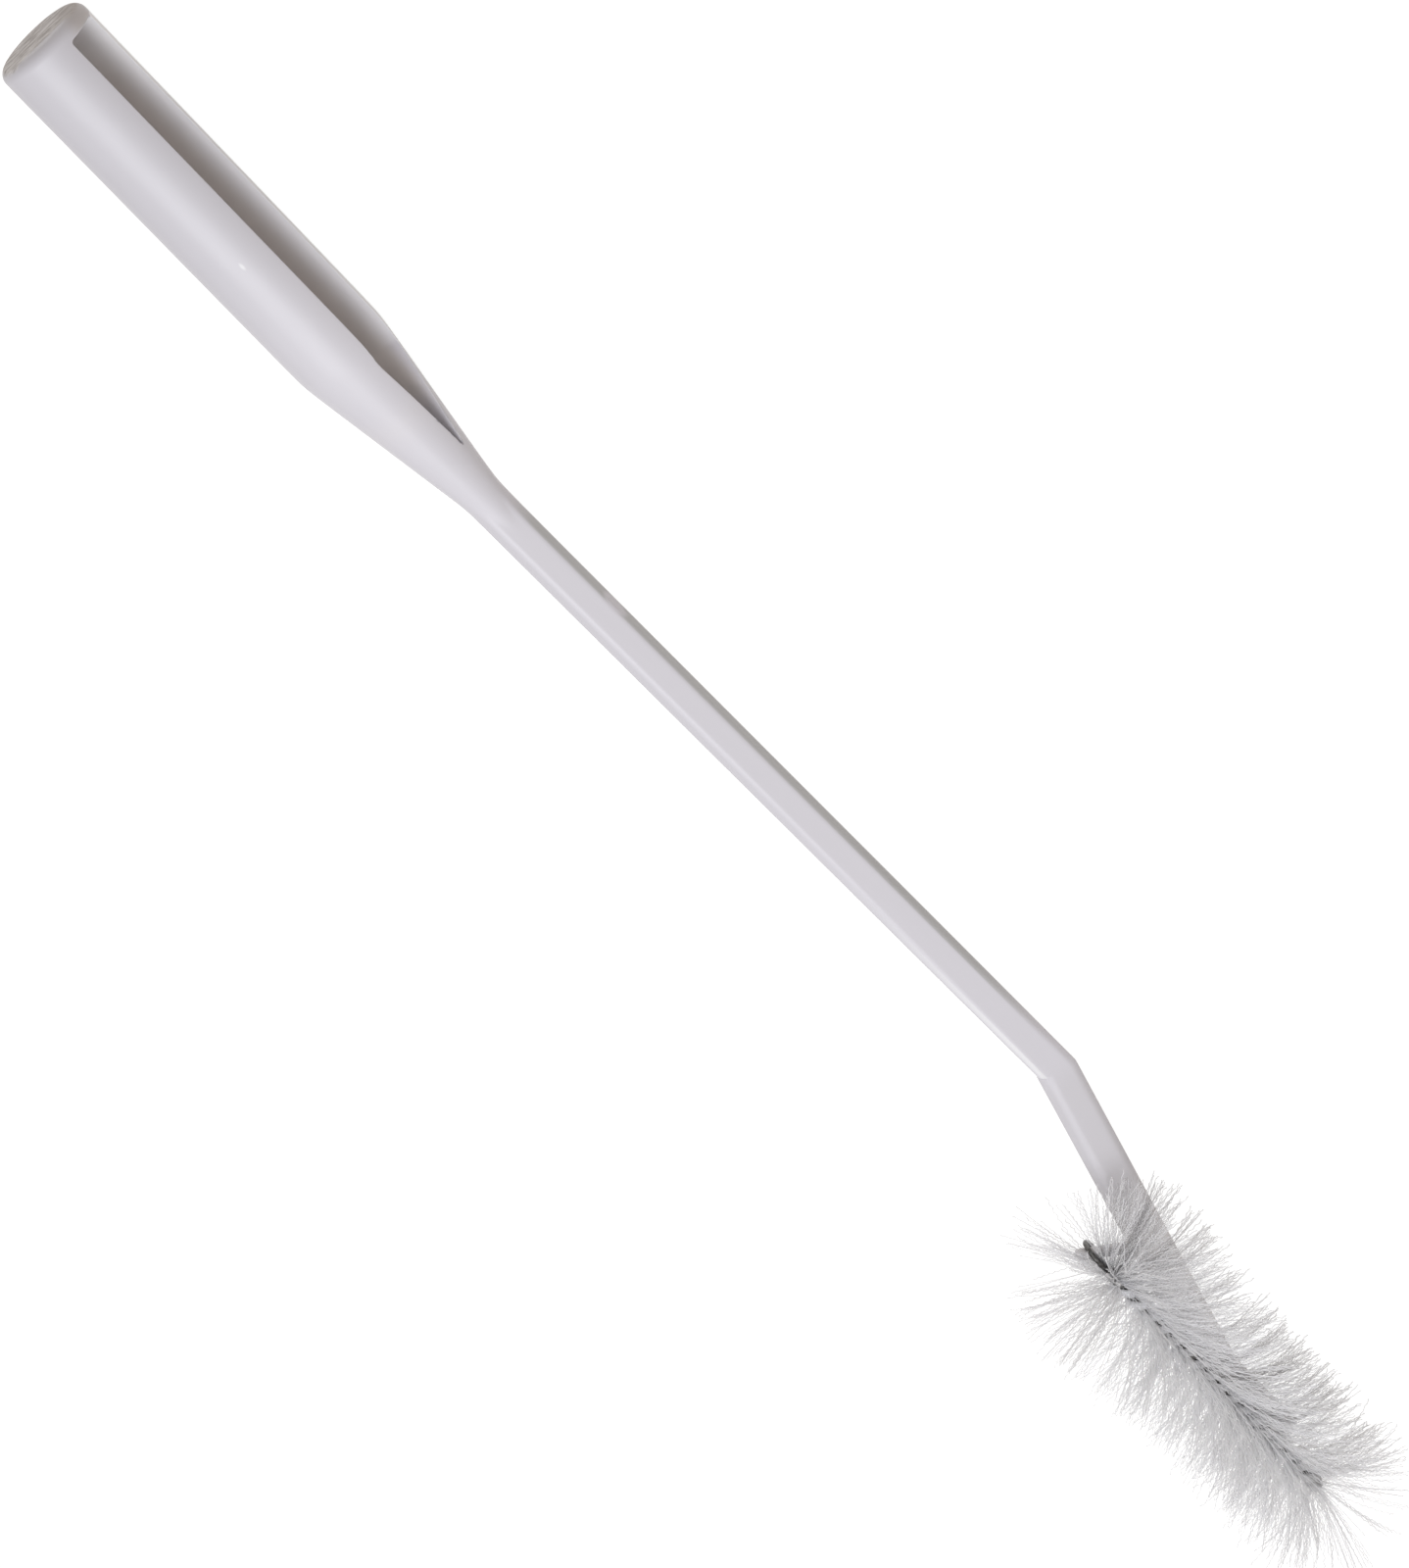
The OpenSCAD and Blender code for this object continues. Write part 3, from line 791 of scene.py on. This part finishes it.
def strandMesh(name, paths, radius):
    # Three-sided strands with closed ends, one after the other.
    n, rings, _ = paths.shape
    heading = np.empty_like(paths)
    heading[:, 1:-1] = paths[:, 2:] - paths[:, :-2]
    heading[:, 0] = paths[:, 1] - paths[:, 0]
    heading[:, -1] = paths[:, -1] - paths[:, -2]
    heading = unit(heading)
    anyWay = np.array((0.31, 0.52, 0.79))
    beside = unit(np.cross(heading[:, :1], anyWay))
    one = unit(beside - heading * (beside * heading).sum(-1, keepdims=True))
    two = np.cross(heading, one)
    angles = np.radians((90, 210, 330))[None, None, :, None]
    across = np.cos(angles) * one[:, :, None, :] + np.sin(angles) * two[:, :, None, :]
    verts = (paths[:, :, None, :] + radius * across).reshape(-1, 3)

    # Three quads between each two rings, and a triangle on each end.
    base = (np.arange(n) * rings * 3)[:, None, None]
    ringStart = base + (np.arange(rings - 1) * 3)[None, :, None]
    corner = np.arange(3)[None, None, :]
    this, following = ringStart + corner, ringStart + (corner + 1) % 3
    quads = np.stack((this, following, following + 3, this + 3), axis=-1).reshape(-1, 4)
    first = base[:, 0, 0]
    last = first + (rings - 1) * 3
    triangles = np.concatenate((np.stack((first + 2, first + 1, first), axis=-1),
                                np.stack((last, last + 1, last + 2), axis=-1)))
    mesh = bpy.data.meshes.new(name)
    mesh.from_pydata((verts * mm).tolist(), [], quads.tolist() + triangles.tolist())
    mesh.validate()
    mesh.shade_smooth()
    return mesh


def buildBristles(places):
    sizes = bristleSizes
    rng = np.random.default_rng(sizes["seed"])
    paths, q = filamentPaths(places, rng)
    turn = np.array(laidDown)
    world = paths @ turn[:3, :3].T + turn[:3, 3] / mm
    # The lowest lie just above the floor, a little apart in height.
    floor = sizes["radius"] + sizes["floorGap"]
    height = world[:, :, 2]
    resting = floor + sizes["floorLoose"] * (height % sizes["floorFold"])
    world[:, :, 2] = np.where(height < floor, resting, height)
    pieces = []
    for i, inBand in enumerate(np.array_split(np.argsort(q), sizes["pieces"])):
        mesh = strandMesh(f"bristles_{i + 1}", world[inBand], sizes["radius"])
        piece = bpy.data.objects.new(mesh.name, mesh)
        bpy.context.collection.objects.link(piece)
        pieces.append(piece)
        print("bristles", i + 1, "made:", len(inBand), "filaments")
    return pieces


# The filaments where they come out between the wire's two legs, as one twisted mass. The outline
# is a quarter of its section, from its outer end to its waist; the back is pressed in to a strip,
# so that it clears the arm.
rootSizes = dict(
    start=1.5, endGap=0.4, stepsATurn=30, smoothUpTo=40,
    outline=[(2.0, 0), (1.75, 0.7), (1.15, 1.3), (0.72, 1.2),
             (0.7, 0.75), (0.6, 0.38), (0.35, 0.13), (0.04, 0.04)],
    strip=(0.42, 0.04), pressedBelow=-0.9, pressedRise=0.8)


def buildRoots(places):
    sizes = rootSizes
    quarter = np.array(sizes["outline"])
    half = np.concatenate((quarter[::-1] * (1, -1), quarter))[:-1]
    section = np.concatenate((half, -half))
    strip = np.sign(section) * sizes["strip"]
    side, face = np.array(places["side"]), np.array(places["face"])
    pitch = wireSizes["twistPitch"]
    rings = []
    for q in np.arange(sizes["start"], wireSizes["stemLength"] - sizes["endGap"],
                       pitch / sizes["stepsATurn"]):
        a = math.radians(180 + 360 * q / pitch)
        out = side * math.cos(a) + face * math.sin(a)
        across = side * math.sin(a) - face * math.cos(a)
        full = section[:, :1] * out + section[:, 1:] * across
        thin = strip[:, :1] * out + strip[:, 1:] * across
        share = np.clip((full[:, 2:] - sizes["pressedBelow"]) / sizes["pressedRise"], 0, 1)
        middle = np.array(legPoint(places, places["neck"] + q, 0, 0, 1))
        rings.append(middle + thin + (full - thin) * share)
    piece = loft("bristle_roots", np.array(rings) * mm)
    layDown(piece, sizes["smoothUpTo"])
    print("bristle roots made:", len(piece.data.polygons), "faces")
    return piece


plasticLook = dict(
    # Several colours here are painted light and shade: darker ones for the grip's end, the arm by the
    # brush, the shaft's right side and the rim by the channel's end; lighter ones for the arm under the
    # bristles, the left side by the elbow and the inside of the channel.
    base=(0.615, 0.597, 0.63, 1), tuftShade=(0.53, 0.513, 0.53, 1), frosted=(0.46, 0.433, 0.418, 1),
    shadedSide=(0.472, 0.468, 0.468, 1), white=(0.85, 0.85, 0.85, 1), bounceLight=(0.69, 0.655, 0.64, 1),
    paintedLight=(0.84, 0.83, 0.84, 1), gripShade=(0.572, 0.556, 0.588, 1), paintedHighlight=(0.72, 0.71, 0.72, 1),
    litUnderTuft=(0.87, 0.86, 0.87, 1), scuffed=(0.76, 0.735, 0.73, 1), shadeOnRim=(0.46, 0.42, 0.4, 1),
    # A noise is its scale, detail and roughness. A tone or a gloss is two of its values and what
    # they give.
    flow=(0.2, 3, 0.55), flowStretch=0.12, grain=(9.0, 2, 0.6), tone=0.025, grainTone=0.25,
    flowTone=(0.3, 0.7, 0.35, 0.65), rag=(0.7, 3, 0.6), streak=(0.9, 4, 0.65), streakTurn=(0.22, 0.1, 0.2),
    frost=(3.5, 4, 0.7), gloss=(0.25, 0.75, 0.38, 0.46), frostDull=0.25, greyDull=0.2,
    relief=(0.35, 0.5, 2.5), bump=(0.35, 0.06))

# Where each mark starts and where it is full, in millimetres, and the shares that it has there if
# they aren't none and all. x is along the handle, y to the right and z to the front; out is the
# distance from the grip's axis, and side and depth are across and into the channel.
plasticMarks = dict(
    # Most of these are places of painted light and shade; the scuff and the frosted end are real marks.
    gripShade=(90, 35), shadedByTuft=(elbowX - 3, elbowX + 5, 0, 0.45), shadedMoreByTuft=(elbowX + 5, elbowX + 42, 0, 0.55),
    litUnderTuft=(elbowX + 26, elbowX + 44),
    shadedSideY=(2.3, 2.65), shadedSideStart=(126, 136), shadedSideEnd=(300, 270),
    nickAt=(158.3, 3.3), nickHalf=(3.4, 0.9), nickSoft=0.25, nickZ=(0, 0.5),
    scuffAt=(54.8, -1.7), scuffHalf=(0.75, 0.3), scuffSoft=0.6, scuffZ=(8, 9, 0, 0.5),
    paintedHighlightStart=(225, 300), paintedHighlightInner=(-2.75, -3.05), paintedHighlightOuter=(-4.3, -3.4),
    paintedHighlightEnd=(elbowX + 2.9, elbowX + 2.3), paintedHighlightSlant=1.2, paintedHighlightZ=(0.8, 1.6),
    frostX=(0.9, 0.15), frostZ=(6.4, 5.2), ragged=1.6, streaks=(0.4, 0.58),
    rimShadeX=(3.4, 2.4), rimShadeY=(3.5, 7), rimShadeZ=(-4, 0), rimShade=0.7,
    channelX=(2.6, 3.2), bounceLightOut=(8.6, 5.4), paintedLightX=(20, 3, 0, 0.7),
    bounceLightEnd=(handleSizes["gripLength"] + 22, handleSizes["gripLength"] + 12),
    wallSide=(4.1, 4.3), wallDepth=(1.5, 6.5), wallX=(30, 4, 0.6, 1),
    wallEnd=(handleSizes["gripLength"] + 12, handleSizes["gripLength"]))


def plasticFinish():
    f = Finish("handlePlastic")
    look, marks = plasticLook, plasticMarks
    x, y, z = f.split(f.localPlace(laidDown))
    bowedPlace = Matrix.Translation(bowed.translation * mm) @ bowed.to_3x3().to_4x4()
    gripX, gripY, gripZ = f.split(f.localPlace(laidDown @ bowedPlace))
    place = f.joined(x, y, z)

    def zone(value, name):
        return f.between(value, *marks[name])

    def spot(name):
        # One inside an ellipse round the spot's place, fading to nothing at its edge.
        at, half, soft = marks[name + "At"], marks[name + "Half"], marks[name + "Soft"]
        away = (((x - at[0]) / half[0]) ** 2 + ((y - at[1]) / half[1]) ** 2) ** 0.5
        return f.between(away, 1 + soft, 1 - soft)

    # Flow of the plastic along the handle, faint in its colour and its gloss.
    flow = f.noise(f.joined(x * look["flowStretch"], y, z), look["flow"])
    grain = f.noise(place, look["grain"])
    shade = f.between(flow, *look["flowTone"], smooth=False) + (grain - 0.5) * look["grainTone"]
    darker, lighter = [tuple(c * tone for c in look["base"][:3]) + (1,)
                       for tone in (1 - look["tone"], 1 + look["tone"])]
    colour = f.blend(shade, darker, lighter)

    # Painted shade: the grip is darker towards its end, where the light falls off, and the arm towards
    # the brush, in the bristles' shadow. Painted light: right under the bristles, the arm is paler.
    colour = f.blend(zone(x, "gripShade"), colour, look["gripShade"])
    grey = zone(x, "shadedByTuft") + zone(x, "shadedMoreByTuft")
    colour = f.blend(grey, colour, look["tuftShade"])
    colour = f.blend(zone(x, "litUnderTuft"), colour, look["litUnderTuft"])

    # Painted shade darkens the right side of the shaft, which faces away from the light; a nick on it
    # keeps the base colour, painted lit. The grip has a small white scuff.
    dull = zone(y, "shadedSideY") * zone(x, "shadedSideStart") * zone(x, "shadedSideEnd")
    colour = f.blend(dull, colour, look["shadedSide"])
    colour = f.blend(spot("nick") * zone(z, "nickZ"), colour, look["base"])
    colour = f.blend(spot("scuff") * zone(z, "scuffZ"), colour, look["white"])

    # A painted highlight lightens the left side towards the elbow, up to a slanting line.
    paintedHighlight = zone(y, "paintedHighlightInner") * zone(y, "paintedHighlightOuter") * zone(z, "paintedHighlightZ")
    paintedHighlight = paintedHighlight * zone(x, "paintedHighlightStart") * zone(x - y * marks["paintedHighlightSlant"], "paintedHighlightEnd")
    colour = f.blend(paintedHighlight, colour, look["paintedHighlight"])

    # The end face is frosted, with pale streaks across it, up to a ragged edge.
    ragged = (f.noise(place, look["rag"]) - 0.5) * marks["ragged"]
    frosted = zone(gripX, "frostX") * zone(gripZ + ragged, "frostZ")
    squeeze, lean, rise = look["streakTurn"]
    acrossFace = f.joined(gripX, gripY * squeeze + gripZ * lean, gripZ - gripY * rise)
    streaks = zone(f.noise(acrossFace, look["streak"]), "streaks")
    colour = f.blend(frosted, colour, f.blend(streaks, look["frosted"], look["scuffed"]))
    # Painted shade darkens the rounded rim beside the channel's end, where it turns away from the light.
    rimShade = zone(gripX, "rimShadeX") * zone(gripY, "rimShadeY") * zone(gripZ, "rimShadeZ")
    colour = f.blend(rimShade * marks["rimShade"], colour, look["shadeOnRim"])

    # Painted light: the channel is lighter and warmer, as warm light bounced into its shade, and paler
    # still by its end, where light comes back off the end wall.
    out = (gripY ** 2 + gripZ ** 2) ** 0.5
    inChannel = zone(gripX, "channelX")
    bounceLight = zone(out, "bounceLightOut") * inChannel * zone(gripX, "bounceLightEnd")
    colour = f.blend(bounceLight, colour, look["bounceLight"])
    colour = f.blend(bounceLight * zone(gripX, "paintedLightX"), colour, look["paintedLight"])

    # Painted light on its far wall, which the light reaches through the mouth, most of all by the end.
    side, depth = (gripY - gripZ) * math.sqrt(0.5), (gripY + gripZ) * math.sqrt(0.5)
    litFarWall = zone(side, "wallSide") * zone(depth, "wallDepth") * inChannel * zone(gripX, "wallEnd")
    colour = f.blend(litFarWall * zone(gripX, "wallX"), colour, look["paintedLight"])

    gloss = f.between(flow, *look["gloss"])
    f.set(Base_Color=colour, Roughness=gloss + frosted * look["frostDull"] + grey * look["greyDull"])
    ofGrain, ofFlow, ofFrost = look["relief"]
    relief = grain * ofGrain + flow * ofFlow + frosted * f.noise(place, look["frost"]) * ofFrost
    f.bump(relief, *look["bump"])
    return f


steelLook = dict(base=(0.2, 0.195, 0.19, 1), worn=(0.42, 0.41, 0.4, 1), dull=(0.08, 0.077, 0.072, 1),
                 drawn=(1.6, 3, 0.6), drawnTone=(0.4, 0.62), fleck=(6.0, 2, 0.5),
                 fleckTone=(0.6, 0.72, 0, 0.6), gloss=(0.3, 0.7, 0.28, 0.48), bump=(0.25, 0.04))


def steelFinish():
    f = Finish("wireSteel")
    look = steelLook
    place = f.localPlace(laidDown)
    fleck = f.noise(place, look["fleck"])
    drawn = f.between(f.noise(place, look["drawn"]), *look["drawnTone"])
    colour = f.blend(drawn, look["dull"], look["base"])
    colour = f.blend(f.between(fleck, *look["fleckTone"]), colour, look["worn"])
    f.set(Base_Color=colour, Metallic=1.0, Roughness=f.between(fleck, *look["gloss"]))
    f.bump(fleck, *look["bump"])
    return f


rootLook = dict(pale=(0.6, 0.595, 0.61, 1), grey=(0.42, 0.42, 0.425, 1), roughness=0.6,
                strands=(1.5, 3, 0.6), strandTone=(0.35, 0.65), stretch=(1, 3, 3))


def rootFinish():
    f = Finish("bristleRoots")
    look = rootLook
    place = f.node("ShaderNodeMapping", {}, Vector=f.localPlace(laidDown), Scale=look["stretch"])
    strands = f.between(f.noise(place, look["strands"]), *look["strandTone"])
    f.set(Base_Color=f.blend(strands, look["grey"], look["pale"]), Roughness=look["roughness"])
    return f


# The filaments are partly see-through, so that the mass of them is as light as the real one.
nylonLook = dict(clear=(1.0, 0.995, 1.0, 1), milky=(0.96, 0.955, 0.975, 1), cloud=(0.25, 2, 0.5),
                 cloudTone=(0.35, 0.65), roughness=0.42, alpha=0.4)


def nylonFinish():
    f = Finish("bristleNylon")
    look = nylonLook
    cloud = f.between(f.noise(f.localPlace(laidDown), look["cloud"]), *look["cloudTone"])
    f.set(Base_Color=f.blend(cloud, look["milky"], look["clear"]),
          Roughness=look["roughness"], Alpha=look["alpha"])
    return f


places = wirePlaces()
handle = buildHandle(places)
wire = buildWire(places)
bristles = buildBristles(places)
roots = buildRoots(places)

finishPiece(handle, plasticFinish(), "handle_plastic", "handle")
finishPiece(wire, steelFinish(), "wire_steel", "wire_core")
nylon = nylonFinish()
for piece in bristles:
    finishPiece(piece, nylon, "bristle_nylon", "bristles")
finishPiece(roots, rootFinish(), "bristle_nylon", "bristles")
print("pieces finished")


# The floor is lit as paper, but the camera sees most of it as plain white.
studio = dict(floorSize=6.0, floorShade=(0.62, 0.58, 0.54), floorRoughness=0.9, glow=1.25, glowShare=0.78,
              worldColour=(1.0, 0.965, 0.94, 1), worldStrength=0.52,
              keyColour=(0.965, 0.99, 1.035), keyPower=4.9, keySize=0.6, keyPlace=(0.05, 0.08, 0.8))


def buildFloor():
    bpy.ops.mesh.primitive_plane_add(size=studio["floorSize"])
    floor = named("floor")
    f = Finish("floorPaper")
    f.set(Base_Color=(*studio["floorShade"], 1), Roughness=studio["floorRoughness"])
    rays = f.node("ShaderNodeLightPath", {}).socket.node.outputs
    seen, glossy, through = [Value(f, rays[kind]) for kind in
                             ("Is Camera Ray", "Is Glossy Ray", "Is Transmission Ray")]
    glow = f.node("ShaderNodeEmission", {}, Color=(1, 1, 1, 1), Strength=studio["glow"])
    mixed = f.node("ShaderNodeMixShader", {}, (seen + glossy + through) * studio["glowShare"],
                   Value(f, f.shader.outputs[0]), glow)
    f.feed(f.output.inputs["Surface"], mixed)
    floor.data.materials.append(f.material)


def buildLight():
    world = bpy.data.worlds.new("studio")
    bpy.context.scene.world = world
    world.use_nodes = True
    background = world.node_tree.nodes["Background"]
    background.inputs["Color"].default_value = studio["worldColour"]
    background.inputs["Strength"].default_value = studio["worldStrength"]
    lamp = bpy.data.lights.new("key", "AREA")
    lamp.energy = studio["keyPower"]
    lamp.size = studio["keySize"]
    lamp.color = studio["keyColour"]
    key = bpy.data.objects.new("key", lamp)
    bpy.context.collection.objects.link(key)
    key.location = studio["keyPlace"]
    key.rotation_euler = (-Vector(studio["keyPlace"])).to_track_quat("-Z", "Y").to_euler()


# The camera's place is in millimetres, in the frame that the pieces are modelled in. The focal
# length is in pixels of the full frame, whose height the sensor's longer side spans.
view = dict(place=(-157.91, -23.59, 799.43), right=(0.6492, 0.69761, 0.30313),
            forward=(0.40881, 0.01606, -0.91248), focal=4431.25, tall=1600, sensor=36, clipStart=10)


def buildCamera():
    camera = bpy.data.cameras.new("camera")
    camera.sensor_width = view["sensor"]
    camera.lens = view["focal"] * view["sensor"] / view["tall"]
    camera.clip_start = view["clipStart"] * mm
    body = bpy.data.objects.new("camera", camera)
    bpy.context.collection.objects.link(body)
    forward = Vector(view["forward"]).normalized()
    right = Vector(view["right"])
    right = (right - forward * right.dot(forward)).normalized()
    up = right.cross(forward)
    local = Matrix((right, up, -forward)).transposed().to_4x4()
    local.translation = Vector(view["place"]) * mm
    body.matrix_world = laidDown @ local
    bpy.context.scene.camera = body


buildFloor()
buildLight()
buildCamera()
bpy.context.scene.view_settings.view_transform = "Standard"
print("stage set")
